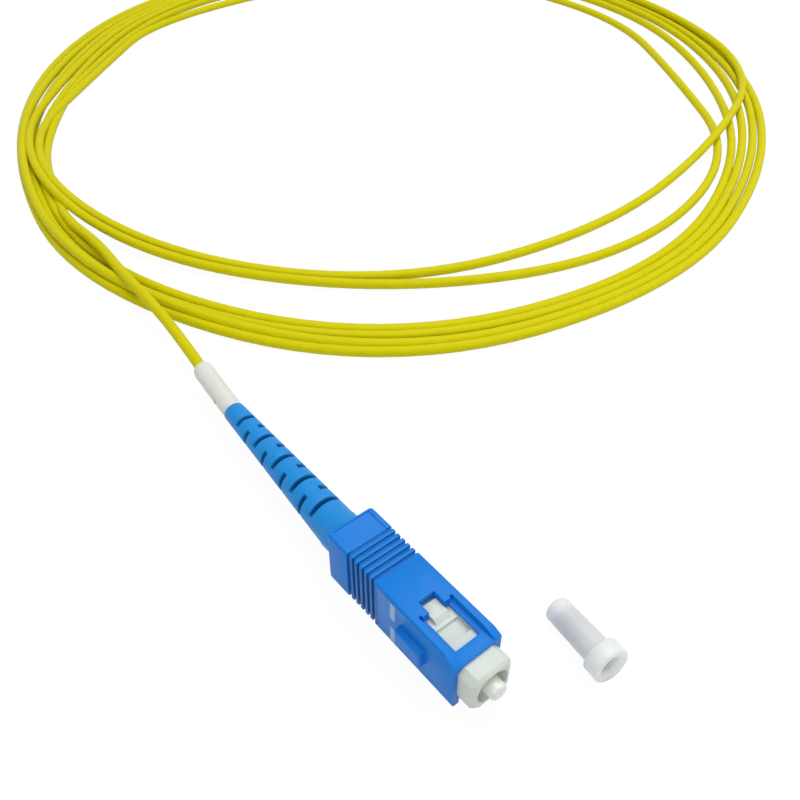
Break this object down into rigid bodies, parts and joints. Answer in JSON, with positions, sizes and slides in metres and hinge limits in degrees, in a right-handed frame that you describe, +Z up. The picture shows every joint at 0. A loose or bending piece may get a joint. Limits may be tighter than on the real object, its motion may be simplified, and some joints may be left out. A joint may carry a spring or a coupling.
{
  "type": "sc fibre connector",
  "caption": "Push-pull simplex fibre connector with a sliding outer housing, sprung ferrule and slotted boot, on a coiled cable, with its dust cap lying beside it",
  "frame": {"origin": "centre of the ferrule's end face", "axes": "X forward, the way the ferrule points out of the plug; Y to the left, away from the polarising key; Z up, out of the upper latch window, with the connector lying on its lower window face"},
  "size_m": [0.2484, 0.202, 0.009],
  "materials": {
    "zirconia": "polished white ceramic",
    "nickel": "nickel-plated brass",
    "clear_plastic": "natural plastic tube",
    "glass": "bare silica fibre",
    "buffer": "tight buffer, satin",
    "spring_steel": "stainless spring wire",
    "frame_plastic": "white moulded plastic, satin",
    "housing_plastic": "blue moulded plastic, satin",
    "yarn": "aramid yarn",
    "crimp_metal": "plated crimp ring",
    "boot_rubber": "blue flexible boot, satin",
    "jacket": "yellow cable jacket, semi-matte",
    "sleeve": "white marker sleeve",
    "cap_plastic": "translucent white cap"
  },
  "bodies": {
    "plug": {"plug_frame": "frame_plastic", "rear_body": "nickel", "aramid_yarn": "yarn", "crimp_ring": "crimp_metal", "boot": "boot_rubber", "jacket_end": "jacket", "marker_sleeve": "sleeve", "cable_tube": "jacket", "cable_coil": "jacket", "dust_cap": "cap_plastic", "ferrule_spring": "spring_steel"},
    "housing": {"outer_housing": "housing_plastic"},
    "ferrule_group": {"ferrule": "zirconia", "ferrule_flange": "nickel", "guide_tube": "clear_plastic", "tight_buffer": "buffer", "glass_fibre": "glass"}
  },
  "joints": [
    {"name": "housing_slide", "type": "slide", "parent": "plug", "child": "housing", "axis": [1, 0, 0], "range_m": [-0.0016, 0.0004]},
    {"name": "ferrule_slide", "type": "slide", "parent": "plug", "child": "ferrule_group", "axis": [-1, 0, 0], "range_m": [0, 0.0012], "stiffness_N_per_m": 1500, "springref_m": -0.004, "deforming": ["ferrule_spring"]}
  ]
}
